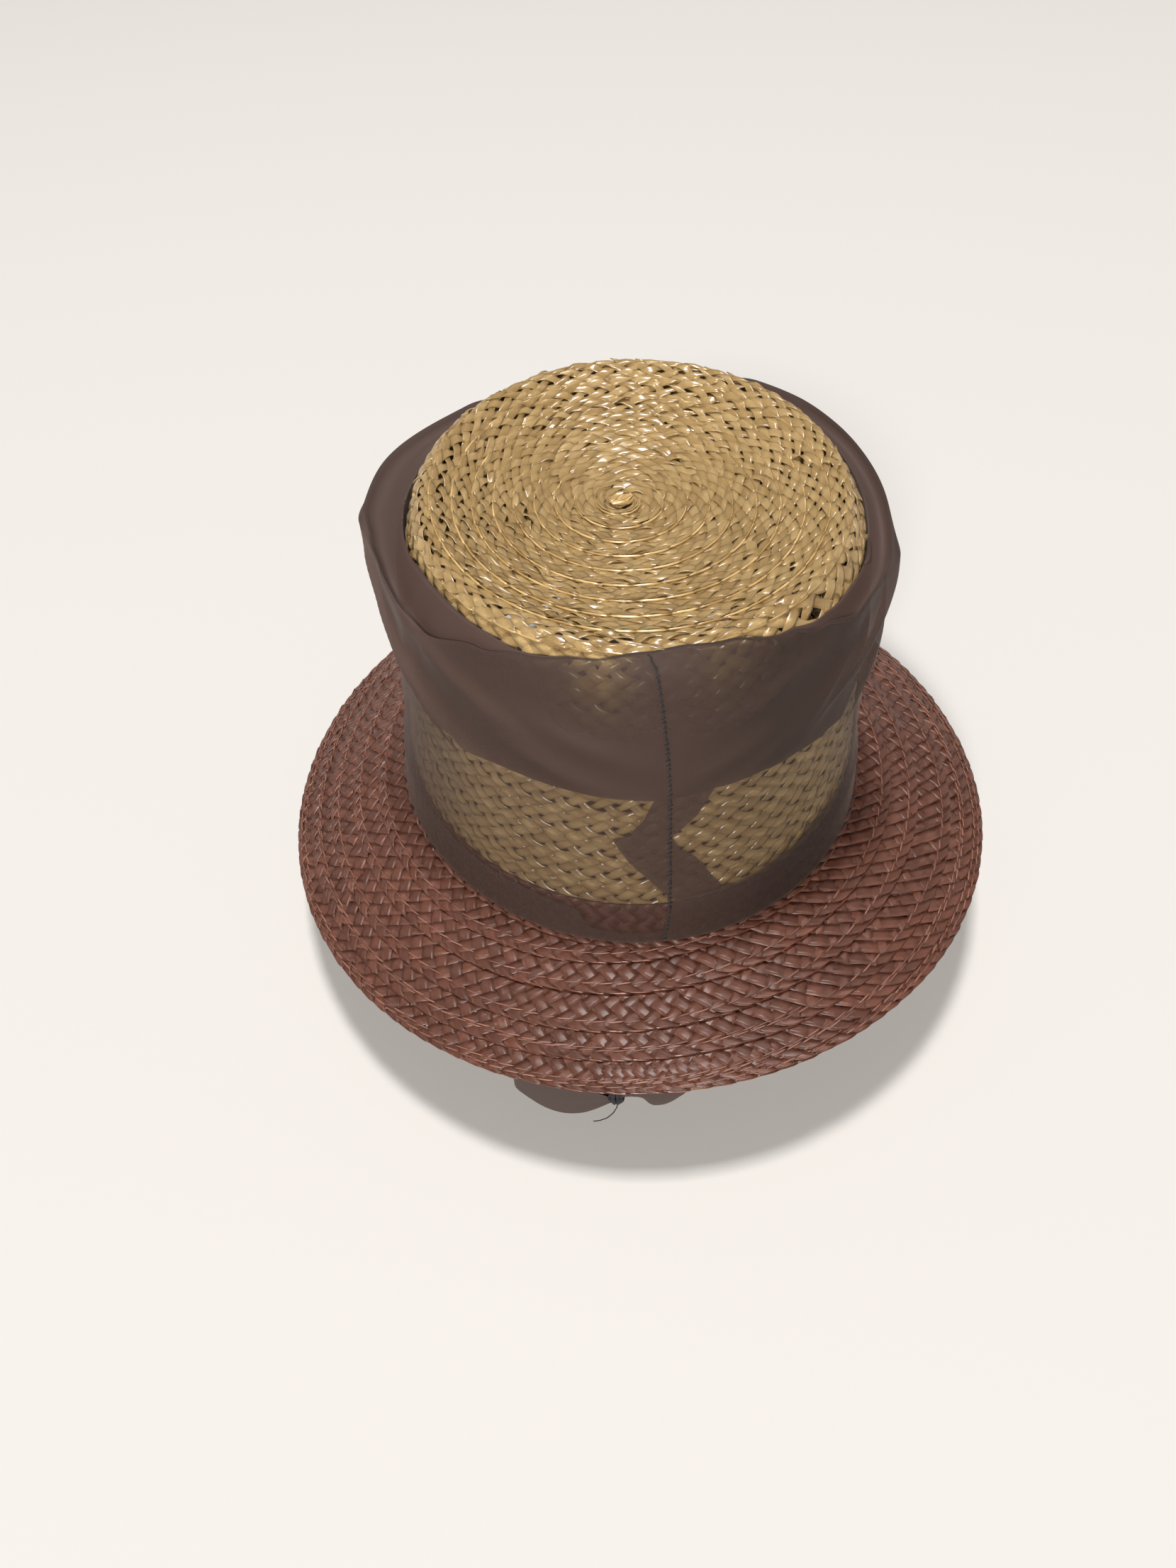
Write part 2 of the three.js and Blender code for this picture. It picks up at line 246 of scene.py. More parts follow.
OPENING_EASE = 0.9                 # how far across the braid it takes to narrow
FIRST_OPEN_RING, ALL_OPEN_RING = 4.2, 7.6
CLOSED_BACK_RING, CLOSED_BACK_SHARE = 9.2, 0.7  # up to there the back of the tip is nearly closed
FULL_WIDTH_RING = 1.6              # the ring where the braid has reached its full width
TIP_END = 10.9                     # the ring where the tip and its rim end and the wall starts
NATURAL_STRAW = (0.44, 0.275, 0.100, 1)
STRAW_DARK, STRAW_LIGHT = (0.20, 0.095, 0.028, 1), (0.76, 0.54, 0.25, 1)
FIBRE_CONTRAST = 1.2               # how much the fibres differ in tone
TONE_LEAST, TONE_SPREAD, PAINTED_DIP_SHADE = 0.3, 0.4, 0.18  # each strand's own tone at random, and painted shade: darker where it dips under the strand it crosses, lighter where it rises
BREADTH_SPREAD, PLACE_SPREAD, LIE_SPREAD = 0.05, 0.03, 0.12  # how unlike each other strands are
BAR_LENGTH_SPREAD, BAR_SWAY = 0.06, 0.08
EDGE_TURN = 9.4                    # the length of one turn of the braid's folded outer edge
EDGE_FROM, EDGE_TO = -0.1, 0.35    # how such a turn slants across the edge
TIP_EDGE, WALL_EDGE = (0.66, 0.42), (0.45, 0.25)  # half its breadth and half its height
BAND_FROM, BAND_TO = 15.0, 19.9    # the rings that show through the chiffon's single layer
FINE_STEPS, BAND_STEPS, PLAIN_STEPS = (4, 14), (3, 13), (2, 9)  # across and along a strand


def wall_faces(rows, corners, closed=True):
    """The four-cornered faces between rows of points, each row closed on itself or open."""
    i = np.arange(rows - 1)[:, None] * corners
    j = np.arange(corners if closed else corners - 1)[None, :]
    k = (j + 1) % corners
    return np.stack([i + j, i + k, i + corners + k, i + corners + j], -1).reshape(-1, 4)


def strands(place, starts, lean, width, middle, spacing, breadth_of, rise_of, drift, thick, dome, twist,
            steps, rng):
    """Thin closed ribbons that cross a row of braid slantwise, all leaning the same way: lean is how
    far they go along the row for each step across it, and its sign gives the set.

    place(u, v, rise) gives points for a distance along the row, a distance in from its outer edge
    and a rise off its face; rise_of gives the weave's rise from its wave, the lean and the place;
    breadth_of gives a strand's breadth along the row at places across it, and drift how far it
    leaves its straight line there. Steps are counted across a strand and along it.
    Returns points, faces and, for the fibres, places on each ribbon and its tone, which holds painted
    shade where the strand dips under another."""
    across, along = steps
    count = len(starts)
    number = np.arange(count)[:, None, None]
    v = np.linspace(0, width, along + 1)[None, :, None]
    top = np.linspace(-1, 1, across + 1)
    c = np.r_[top, 1, -1][None, None, :]
    on_top = np.r_[np.ones(across + 1), 0, 0][None, None, :]
    half = 0.5 * breadth_of(v, starts) * (1 + rng.normal(0, BREADTH_SPREAD, count))[:, None, None]
    centre = starts[:, None, None] + lean * (v - middle)
    u = centre + drift(v, lean) + half * c
    u = u + rng.normal(0, PLACE_SPREAD * spacing, count)[:, None, None]
    crossing = (2 * lean * (v - middle) + half * c) / spacing
    weave = np.sign(lean) * np.cos(math.pi * crossing)
    lie = rng.normal(0, LIE_SPREAD, count)[:, None, None]
    turned = rng.normal(0, twist, count)[:, None, None] * np.cos(v * 0.9 + number * 2.4)
    rise = rise_of(weave + lie, lean, u) + turned * c + on_top * thick * (1 - dome * c * c)
    points = place(u, v + 0 * u, rise)
    loop = across + 3
    start_cap = np.array([[across + 2, across + 1, across, 0]])
    end_cap = start_cap[:, ::-1] + along * loop
    faces = np.concatenate([wall_faces(along + 1, loop), start_cap, end_cap])
    if lean > 0:
        faces = faces[:, ::-1]
    faces = faces[None] + (np.arange(count) * (along + 1) * loop)[:, None, None]
    # A strand's own tone at random, and painted shade: darker where it dips under the strand it
    # crosses.
    tone = TONE_LEAST + TONE_SPREAD * rng.uniform(0, 1, count)[:, None, None] + PAINTED_DIP_SHADE * weave
    fibre = np.stack([half * c + 0 * u, v * math.hypot(1, lean) + 0 * u, tone], -1)
    return points.reshape(-1, 3), faces.reshape(-1, 4), fibre.reshape(-1, 3)


def bars(place, starts, length, across_from, across_to, rise, half, steps, light, rng):
    """Small rounded bars along a row, each running from one distance across it to another; half
    is half their breadth and height, and light the darkest tone they take, from 0 to 1."""
    count = len(starts)
    along = np.linspace(0, 1, steps + 1)[None, :, None]
    sides = 6
    turn = np.arange(sides) * 2 * math.pi / sides
    taper = np.sqrt(np.clip(1 - (2 * along - 1) ** 6, 0.04, 1))
    reach = length * (1 + rng.normal(0, BAR_LENGTH_SPREAD, count))[:, None, None]
    sway = rng.normal(0, BAR_SWAY, count)[:, None, None]
    u = starts[:, None, None] + reach * (along - 0.5)
    v = across_from + (across_to - across_from) * along + sway + half[0] * taper * np.cos(turn)
    lift = rise + half[1] * taper * np.sin(turn)
    points = place(u + 0 * v, v, lift + 0 * v)
    caps = [[0, 1, 2, 3], [0, 3, 4, 5]]
    ends = np.array(caps + [[steps * sides + x for x in cap[::-1]] for cap in caps])
    faces = np.concatenate([wall_faces(steps + 1, sides)[:, [0, 3, 2, 1]], ends])
    faces = faces[None] + (np.arange(count) * (steps + 1) * sides)[:, None, None]
    tone = rng.uniform(light, 1, count)[:, None, None]
    fibre = np.stack([half[0] * np.cos(turn) + 0 * v, reach * along + 0 * v, tone + 0 * v], -1)
    return points.reshape(-1, 3), faces.reshape(-1, 4), fibre.reshape(-1, 3)


def joined(parts):
    """Several lots of points, faces and fibre places as one."""
    shift = np.cumsum([0] + [len(p[0]) for p in parts])
    return (np.concatenate([p[0] for p in parts]),
            np.concatenate([p[1] + s for p, s in zip(parts, shift)]),
            np.concatenate([p[2] for p in parts]))


def braid_piece(name, parts, material):
    """A piece made of many strands or threads, which rides on the hat and takes a slot's finish."""
    points, faces, fibre = joined(parts)
    piece = mesh_piece(name, points, faces, material)
    marks = piece.data.attributes.new("fibre", "FLOAT_VECTOR", "POINT")
    marks.data.foreach_set("vector", fibre.ravel())
    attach(piece, "root")
    return piece


def node(material, kind, **settings):
    """A new shader node; a setting is one of its own values or, failing that, one of its sockets."""
    made = material.node_tree.nodes.new(kind)
    for key, value in settings.items():
        if hasattr(made, key):
            setattr(made, key, value)
        else:
            made.inputs[key.replace("_", " ")].default_value = value
    return made


def join(material, source, target):
    """Joins one shader socket to another."""
    material.node_tree.links.new(source, target)


def tone_ramp(material, dark, middle, light, first, last):
    """A colour ramp from a dark tone at one place to a light one, with a middle tone at 0.5."""
    tones = node(material, "ShaderNodeValToRGB")
    ramp = tones.color_ramp
    ramp.elements[0].position, ramp.elements[0].color = first, dark
    ramp.elements[1].position, ramp.elements[1].color = last, light
    ramp.elements.new(0.5).color = middle
    return tones


def straw_finish(name, dark, middle, light, roughness, fibre_size, fibre_depth):
    """Straw: a tone of its own for each strand, with painted shade where it dips under another, and
    fine fibres along it in colour and relief.
    """
    material = plain_finish(name, middle, roughness)
    shader = material.node_tree.nodes["Principled BSDF"]
    fibre = node(material, "ShaderNodeAttribute", attribute_name="fibre")
    parts = node(material, "ShaderNodeSeparateXYZ")
    join(material, fibre.outputs["Vector"], parts.inputs["Vector"])
    stretched = node(material, "ShaderNodeVectorMath", operation="MULTIPLY")
    stretched.inputs[1].default_value = (1 / fibre_size, 0.12 / fibre_size, 900)
    join(material, fibre.outputs["Vector"], stretched.inputs[0])
    grain = node(material, "ShaderNodeTexNoise", Scale=1.0, Detail=3.0, Roughness=0.6)
    join(material, stretched.outputs["Vector"], grain.inputs["Vector"])
    # The strand's tone, with its painted shade where it dips, mixed with the fibres' grain.
    blend = node(material, "ShaderNodeMath", operation="MULTIPLY_ADD")
    blend.inputs[1].default_value = 0.5
    join(material, parts.outputs["Z"], blend.inputs[0])
    scaled = node(material, "ShaderNodeMath", operation="MULTIPLY_ADD")
    scaled.inputs[1].default_value = FIBRE_CONTRAST
    scaled.inputs[2].default_value = 0.25 - FIBRE_CONTRAST / 2
    join(material, grain.outputs["Fac"], scaled.inputs[0])
    join(material, scaled.outputs["Value"], blend.inputs[2])
    tones = tone_ramp(material, dark, middle, light, 0.12, 0.88)
    join(material, blend.outputs["Value"], tones.inputs["Fac"])
    join(material, tones.outputs["Color"], shader.inputs["Base Color"])
    relief = node(material, "ShaderNodeBump", Strength=0.8, Distance=fibre_depth * MM)
    join(material, grain.outputs["Fac"], relief.inputs["Height"])
    join(material, relief.outputs["Normal"], shader.inputs["Normal"])
    return material


def add_gloss(material, tint, coat, coat_roughness):
    """A strong shine tinted with the straw's own colour, and a clear coat."""
    shader = material.node_tree.nodes["Principled BSDF"]
    shader.inputs["Specular IOR Level"].default_value = 1.0
    shader.inputs["Specular Tint"].default_value = tint
    shader.inputs["Coat Weight"].default_value = coat
    shader.inputs["Coat Roughness"].default_value = coat_roughness


inner_point = np.array([2.4, 1.3, 50.0])  # well inside the crown, so a way out leads off from it
ring_marks = np.linspace(0.3, CROWN_RINGS + 0.3, 5000)
mid_row = BRAID_WIDTH / BRAID_PITCH / 2
spiral_line = crown_place(ring_marks - np.minimum(mid_row, ring_marks / 2), spiral_angle(ring_marks))
spiral_length = np.r_[0, np.cumsum(np.linalg.norm(np.diff(spiral_line, axis=0), axis=1))]


def ring_length(ring):
    """How far along the braid a ring of the spiral lies."""
    return float(np.interp(ring, ring_marks, spiral_length))


def on_crown(u, v, rise):
    """Places on the crown's braid, which dips under the ring that laps over its inner part."""
    ring = np.interp(u, spiral_length, ring_marks)
    angle = spiral_angle(ring)
    width_share = np.clip(ring / FULL_WIDTH_RING, 0, 1)
    inner = ring - v / BRAID_PITCH * width_share
    points = crown_place(inner, angle)
    normals = outward(crown_place, inner, angle)
    facing = np.sum(normals * (points - inner_point), axis=-1, keepdims=True)
    normals = normals * np.sign(facing)
    dip = BRAID_FACE - RING_LAP * v / BRAID_PITCH
    return points + normals * (rise + dip)[..., None]


def crown_breadth(v, starts):
    """A strand's breadth, less in the open part of an outer ring but not at the back of the tip."""
    ring = np.interp(starts, spiral_length, ring_marks)[:, None, None]
    share = np.clip((ring - FIRST_OPEN_RING) / (ALL_OPEN_RING - FIRST_OPEN_RING), 0, 1)
    back = np.clip(-np.sin(spiral_angle(ring)), 0, 1) * np.clip((CLOSED_BACK_RING - ring) / 0.8, 0, 1)
    opening = (np.clip((v - OPENING_FROM) / OPENING_EASE, 0, 1)
               * np.clip((OPENING_TO - v) / OPENING_EASE, 0, 1))
    unlike = 1 + 0.3 * np.sin(ring * 61) * np.sin(ring * 23)
    narrowed = OPENING_SHARE * levelled(opening) * share * (1 - CLOSED_BACK_SHARE * back) * unlike
    return STRAND_SPACING * (STRAND_FILL - narrowed)


def no_drift(v, lean):
    """Strands that keep to their own line."""
    return 0 * v


def crown_rise(weave, lean, u):
    """The weave's rise on the crown, where some strands bulge more than others."""
    return WEAVE_RISE * weave * (1 + 0.25 * np.sin(u * 0.9) * np.sin(u * 0.37))


def crown_braid(from_ring, to_ring, twist, steps, seed):
    """Both sets of strands between two rings of the spiral."""
    rng = np.random.default_rng(seed)
    first, last = ring_length(from_ring), ring_length(to_ring)
    count = int((last - first) / STRAND_SPACING)
    parts = []
    for lean in (STRAND_SLANT, -STRAND_SLANT):
        starts = first + (np.arange(count) + 0.5) * STRAND_SPACING
        parts.append(strands(on_crown, starts, lean, BRAID_WIDTH, OPEN_LINE, STRAND_SPACING,
                             crown_breadth, crown_rise, no_drift, STRAND_THICK, STRAND_DOME,
                             twist, steps, rng))
    return parts


def crown_edges(from_ring, to_ring, half, seed):
    """The folded outer edge of the braid, a line of short bars that overlap like a cord's twist."""
    rng = np.random.default_rng(seed)
    starts = np.arange(ring_length(from_ring), ring_length(to_ring), STRAND_SPACING)
    return bars(on_crown, starts, EDGE_TURN, EDGE_FROM, EDGE_TO, rise=0.0, half=half, steps=6,
                light=0.3, rng=rng)


# The start of the braid: a small fan of glossy strands in the middle of the tip, where the maker
# begins to turn the braid round itself.
START_LENGTH, START_STRAND = 8.5, 1.15
START_SPACING, START_COUNT = 1.3, 5
START_TURN = math.radians(20)


def on_start(u, v, rise):
    """Places on the fan, which narrows to both of its ends and is raised in the middle."""
    along = v - START_LENGTH / 2
    narrow = 1 - 0.6 * (along / START_LENGTH * 2) ** 2
    across = u * narrow + 0.5 * np.sin(along * 0.7 + u)
    x = SPIRAL_START[0] + along * math.cos(START_TURN) - across * math.sin(START_TURN)
    y = SPIRAL_START[1] + along * math.sin(START_TURN) + across * math.cos(START_TURN)
    dome = 0.45 - 0.02 * (along ** 2 + 2 * across ** 2)
    return np.stack([x, y, CROWN_PROFILE[0, 2] + dome + rise], -1)


def start_rise(weave, lean, u):
    """The fan's strands lie at heights of their own."""
    return 0.35 * np.sin(u * 2.3)


def start_breadth(v, starts):
    """The fan's strands are narrow."""
    return START_STRAND * 1.2 + 0 * v


def crown_start():
    """The fan of strands, all lying nearly one way."""
    starts = (np.arange(START_COUNT) - START_COUNT // 2) * START_SPACING
    return strands(on_start, starts, 0, START_LENGTH, 0, START_STRAND, start_breadth, start_rise,
                   no_drift, thick=0.5, dome=0.8, twist=0.35, steps=(3, 10),
                   rng=np.random.default_rng(10))


natural_straw = straw_finish("natural_straw", STRAW_DARK, NATURAL_STRAW, STRAW_LIGHT, roughness=0.3,
                             fibre_size=0.8, fibre_depth=0.4)
add_gloss(natural_straw, tint=(1.0, 0.88, 0.62, 1), coat=0.9, coat_roughness=0.22)
crown_tip = braid_piece(
    "crown_tip",
    [crown_start()] + crown_braid(0.35, TIP_END, TIP_TWIST, FINE_STEPS, 11)
    + [crown_edges(0.9, TIP_END, TIP_EDGE, 12)],
    natural_straw)
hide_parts("crown")
crown_wall = braid_piece(
    "crown_wall",
    crown_braid(TIP_END, BAND_FROM, WALL_TWIST, PLAIN_STEPS, 13)
    + crown_braid(BAND_FROM, BAND_TO, WALL_TWIST, BAND_STEPS, 14)
    + crown_braid(BAND_TO, CROWN_RINGS, WALL_TWIST, PLAIN_STEPS, 15),
    natural_straw)
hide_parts("crown")
crown_wall_edges = braid_piece(
    "crown_wall_edges", [crown_edges(TIP_END, BAND_TO, WALL_EDGE, 16)], natural_straw)
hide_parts("crown")


# The brim: one long spiral of broad brown braid that starts at the right of the back, its first
# row turned up round the crown. Each row is sewn on top of the next one out with long running
# stitches, and the last row makes the rim.
BRIM_WIDTH = 54.2
BRIM_SEAT = 2.4
COLLAR_OUT, COLLAR_TOP, COLLAR_LOW = 0.85, 14.6, 4.0
COLLAR_ROUND = 0.9                 # how softly the braid turns up round the crown
# The brim's slope in degrees, what the front adds to it and the back takes off, what both ends
# along the hat take off and both sides add, and what the left adds and the right takes off
BRIM_DROOP = (22.0, 7.9, 2.2, 2.8)
BRIM_FACE_Z = -0.3
BROWN_SPACING = 6.7
BROWN_WIDTH = 2.25 * BROWN_SPACING
BROWN_MIDDLE_LINE = 1.125 * BROWN_SPACING
BROWN_THICK = 0.38
BROWN_RISE = 0.3
BROWN_TWIST = 0.2
BROWN_DOME = 0.1
BROWN_FILL = 0.95                  # how much of its spacing a brown strand fills
EDGE_BEND, EDGE_DEPTH = 0.6, 2.5   # how the strands turn along the outer edge, and how far in
BROWN_FACE = -0.35
BROWN_LAP = 1.0                    # how much deeper a row lies ten millimetres in from its edge
SPIRAL_FROM = -52                  # the angle where the brim's spiral starts
ONE_WAY_FROM, ONE_WAY_TO = -112, 10  # angles between which one set of strands lies mostly on top
ONE_WAY_SHARE = 0.55
# Turns from there, outwards with the clock's hands, and the row's outer edge down the slope
BRIM_ROWS = np.array([
    (0.0, 3.9), (0.078, 6.4), (0.132, 9.0), (0.183, 12.4), (0.236, 14.7), (0.303, 15.9),
    (1.0, 17.1), (1.053, 17.9), (1.106, 19.0), (1.158, 21.5), (1.211, 23.9), (1.264, 26.2),
    (1.342, 27.9), (1.97, 27.9), (2.025, 29.1), (2.078, 30.8), (2.132, 33.5), (2.183, 35.6),
    (2.264, 37.0), (2.342, 38.2), (3.0, 41.6), (3.106, 42.4), (3.158, 44.2), (3.211, 46.2),
    (3.342, 47.6), (3.97, 49.8), (4.025, 49.9), (4.078, 52.2), (4.132, 53.9), (5.14, 53.9),
])
BRIM_TURNS, RIM_TURN = 5.14, 4.13
BROWN_MIDDLE = (0.074, 0.021, 0.010, 1)
BROWN_DARK, BROWN_LIGHT = (0.026, 0.007, 0.004, 1), (0.18, 0.060, 0.034, 1)
BROWN_EDGE_TURN = 8.4              # the length of one turn of the brown braid's folded edge
STITCH_LENGTH, STITCH_SPACING, STITCH_IN = 5.2, 5.4, 3.3
STITCH_SLANT, STITCH_RISE = 0.28, 0.66
STITCH_SHAPE = (0.3, 0.2)          # half a stitch's breadth and half its height
SECOND_LINE_FROM, SECOND_LINE_TO = 1.25, 0.75  # the second line of stitches, in from the first
SECOND_LINE_TURN = 3.05            # the turn where the rows begin to have two lines
RIM_STITCH_FROM, RIM_STITCH_TO, RIM_STITCH_RISE = 1.85, 1.4, 0.68


def soft_step(x):
    """A corner rounded over: nothing below zero, and x itself well above."""
    return COLLAR_ROUND * np.logaddexp(0, x / COLLAR_ROUND)


def beside_oval(height, angle, out, swell=1.0):
    """A point beside the crown's oval at a height, moved out square to it."""
    half_width, half_length, x, y = crown_oval(height)
    half_width, half_length = half_width * swell, half_length * swell
    c, s = np.cos(angle), np.sin(angle)
    nx, ny = c / half_width, s / half_length
    size = np.hypot(nx, ny)
    return x + half_width * c + nx / size * out, y + half_length * s + ny / size * out


def brim_place(down_slope, angle):
    """A point on the brim's upper face; above the seat it goes up round the crown."""
    level, front, sides, left = BRIM_DROOP
    slope = np.radians(level + front * np.sin(angle) + sides * np.cos(2 * angle) - left * np.cos(angle))
    up = soft_step(COLLAR_OUT - down_slope)
    out = COLLAR_OUT + soft_step(down_slope - COLLAR_OUT) * np.cos(slope)
    drop = soft_step(down_slope - BRIM_SEAT) * np.sin(slope)
    x, y = beside_oval(up, angle, out)
    return np.stack([x, y, BRIM_FACE_Z + up - drop], -1)


turn_marks = np.linspace(0, BRIM_TURNS, 4000)
row_edges = np.interp(turn_marks, BRIM_ROWS[:, 0], BRIM_ROWS[:, 1])
brim_line = brim_place(row_edges - BROWN_WIDTH / 2, np.radians(SPIRAL_FROM - 360 * turn_marks))
brim_length = np.r_[0, np.cumsum(np.linalg.norm(np.diff(brim_line, axis=0), axis=1))]


def brim_row(u):
    """The turn and the angle of the spiral at a distance along the brown braid."""
    turn_at = np.interp(u, brim_length, turn_marks)
    return turn_at, np.radians(SPIRAL_FROM - 360 * turn_at)


def on_face(down_slope, angle, rise):
    """Points a rise off the brim's upper face, and round the crown off the collar's outside."""
    points = brim_place(down_slope, angle)
    normals = outward(brim_place, down_slope, angle)
    facing = normals[..., 2:] + normals[..., :1] * np.cos(angle)[..., None] \
        + normals[..., 1:2] * np.sin(angle)[..., None]
    return points + normals * np.sign(facing) * rise[..., None]


def on_brim(u, v, rise):
    """Places on the brim's braid, which dips under the row that laps over its inner part."""
    turn_at, angle = brim_row(u)
    edge = np.interp(turn_at, turn_marks, row_edges)
    return on_face(edge - v, angle, rise + BROWN_FACE - BROWN_LAP * v / 10)


def on_collar(u, v, rise):
    """Places on the row that is turned up round the crown, from its lower edge."""
    angle = np.radians(SPIRAL_FROM) - 2 * math.pi * u / collar_length
    return on_face(COLLAR_LOW - v, angle, rise - 0.4)


def brown_rise(weave, lean, u):
    """On the right of the back the strands that slant down to the right lie mostly on top."""
    degrees = np.degrees(brim_row(u)[1]) % 360 - 360
    bias = np.clip((degrees - ONE_WAY_FROM) / 45, 0, 1) * np.clip((ONE_WAY_TO - degrees) / 30, 0, 1)
    return BROWN_RISE * (weave + ONE_WAY_SHARE * lean * bias)


def collar_rise(weave, lean, u):
    """The weave's rise on the turned-up row."""
    return BROWN_RISE * weave


def edge_drift(v, lean):
    """Near the outer edge both sets turn to run almost along it, where they fold over."""
    return -lean * EDGE_BEND * np.maximum(EDGE_DEPTH - v, 0) ** 2 / EDGE_DEPTH


def brown_breadth(v, starts):
    """The brown strands lie close together all over."""
    return BROWN_SPACING * BROWN_FILL + 0 * v


def brown_row(place, rise_of, length_from, length_to, width, steps, seed):
    """Both sets of strands of a stretch of brown braid."""
    rng = np.random.default_rng(seed)
    count = int((length_to - length_from) / BROWN_SPACING)
    spacing = (length_to - length_from) / count
    parts = []
    for lean in (1, -1):
        starts = length_from + (np.arange(count) + 0.5) * spacing
        parts.append(strands(place, starts, lean, width, BROWN_MIDDLE_LINE, spacing, brown_breadth,
                             rise_of, edge_drift, BROWN_THICK, BROWN_DOME, BROWN_TWIST, steps, rng))
    return parts


collar_length = float(np.sum(np.linalg.norm(np.diff(
    brim_place(np.full(361, -5.0), np.radians(np.arange(361.0))), axis=0), axis=1)))
brown_straw = straw_finish("brown_straw", BROWN_DARK, BROWN_MIDDLE, BROWN_LIGHT, roughness=0.28,
                           fibre_size=0.7, fibre_depth=0.16)
add_gloss(brown_straw, tint=(1.0, 0.66, 0.56, 1), coat=0.3, coat_roughness=0.3)
brim_rng = np.random.default_rng(21)
edge_starts = np.arange(0, brim_length[-1], BROWN_SPACING)
brim_braid = braid_piece(
    "brim_braid",
    brown_row(on_brim, brown_rise, 0, brim_length[-1], BROWN_WIDTH, (3, 9), 22)
    + brown_row(on_collar, collar_rise, 0, collar_length, COLLAR_LOW + COLLAR_TOP, (1, 10), 23)
    + [bars(on_brim, edge_starts, BROWN_EDGE_TURN, EDGE_FROM, 0.4, rise=0.1, half=(0.4, 0.3), steps=5,
            light=0.35, rng=brim_rng)],
    brown_straw)
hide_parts("brim")

stitch_thread = straw_finish(
    "brown_stitch_thread", (0.12, 0.048, 0.030, 1), (0.19, 0.082, 0.055, 1), (0.31, 0.15, 0.105, 1),
    roughness=0.45, fibre_size=0.12, fibre_depth=0.05)
stitch_starts = np.arange(0.6 * BROWN_SPACING, brim_length[-1], STITCH_SPACING)
stitch_turns = np.interp(stitch_starts, brim_length, turn_marks)
rim_starts = stitch_starts[stitch_turns > RIM_TURN] + STITCH_SPACING / 2
in_double = (stitch_turns > SECOND_LINE_TURN) & (stitch_turns < RIM_TURN)
double_starts = stitch_starts[in_double] + STITCH_SPACING / 2
braid_piece(
    "brim_stitches",
    [bars(on_brim, stitch_starts, STITCH_LENGTH, STITCH_IN + STITCH_SLANT, STITCH_IN - STITCH_SLANT,
          STITCH_RISE, STITCH_SHAPE, 5, 0, brim_rng),
     bars(on_brim, double_starts, STITCH_LENGTH, STITCH_IN + SECOND_LINE_FROM,
          STITCH_IN + SECOND_LINE_TO, STITCH_RISE, STITCH_SHAPE, 5, 0, brim_rng),
     bars(on_brim, rim_starts, STITCH_LENGTH, RIM_STITCH_FROM, RIM_STITCH_TO, RIM_STITCH_RISE,
          STITCH_SHAPE, 5, 0, brim_rng)],
    stitch_thread)


# The chiffon: a tube of sheer brown silk drawn over the crown. The cloth is hemmed below, goes up
# outside, turns over at the top, comes down inside and is turned under once more. It stands off
# the straw at both sides, and all its layers are one sheet.
# Angle, height of the top fold, how far it stands off the straw there, and the height where the
# cloth that turns in over it meets the straw
TOP_FOLD = np.array([
    (-180, 101, 11, 102.8), (-170, 100.5, 9, 103.8), (-160, 98, 7.5, 105.4), (-152, 94.5, 4.2, 105.6),
    (-135, 101, 2.2, 104.5), (-125, 103.6, 1, 103.6), (-110, 105.8, 0.3, 105.8),
    (-97, 107.6, 0, 107.6), (-88, 108.3, 0, 108.3), (-77, 107.5, 0, 107.5), (-63, 104.6, 0.6, 104.6),
    (-53, 101.8, 2.4, 102.4), (-43, 99, 5.5, 101.6), (-25, 99.5, 7.8, 99.5), (-5, 104, 7, 103),
    (20, 106.3, 6.4, 104), (48, 103.5, 9.5, 103), (70, 98, 6, 101), (105, 97, 5.5, 101),
    (125, 100.8, 10.5, 102), (155, 101.5, 15, 103), (168, 101, 14.5, 103), (180, 101, 11, 102.8),
])
# Angle, height, rise per millimetre to the right, reach along, spread across, relief
SOFT_FOLDS = [
    (-170, 86, -0.60, 34, 4.4, 3.2), (-166, 75, -0.60, 26, 4.0, -2.4), (-152, 68, -0.45, 30, 4.4, 2.4),
    (-138, 84, -0.35, 26, 4.0, 2.2), (-126, 72, -0.35, 30, 4.0, 1.7), (-112, 78, -0.3, 20, 4.0, 1.0),
    (-36, 87, 0.62, 30, 4.4, 3.2), (-28, 70, 0.6, 28, 4.4, 2.8), (-54, 76, 0.5, 32, 4.2, 1.7),
    (-62, 90, 0.35, 18, 3.8, 1.5), (-72, 72, 0.35, 20, 4.0, 1.0),
    (60, 78, -0.3, 40, 6, 2.4), (20, 70, 0.4, 30, 6, 2.0), (95, 74, 0.3, 30, 6, 2.0),
    (130, 72, 0.35, 40, 6, 2.6), (165, 76, -0.4, 26, 5, 2.6),
]
# Angle, height of the inner layer's lower edge and of the hem's edge
LAYER_EDGES = np.array([
    (-180, 55, 15), (-150, 56.3, 15.5), (-137, 59.3, 15), (-125, 60.2, 14.5),
    (-112, 59.8, 13), (-107, 59.5, 5), (-101, 59, 4.2), (-95, 58.4, 4),
    (-91, 58.4, 5), (-89, 58.8, 18), (-81, 59.8, 18.6), (-72, 60, 17.6),
    (-61, 59, 19.2), (-50, 57, 21.5), (-20, 55, 21), (60, 52, 18),
    (120, 54, 16), (180, 55, 15),
])
# Angle, reach and depth of the two places beside the seam where the inner layer is thinnest
THIN_PLACES = [(-106, 8, 0.62), (-79, 9, 0.34)]
POCKET = 3.0                       # how far the cloth sinks behind a fold that stands off
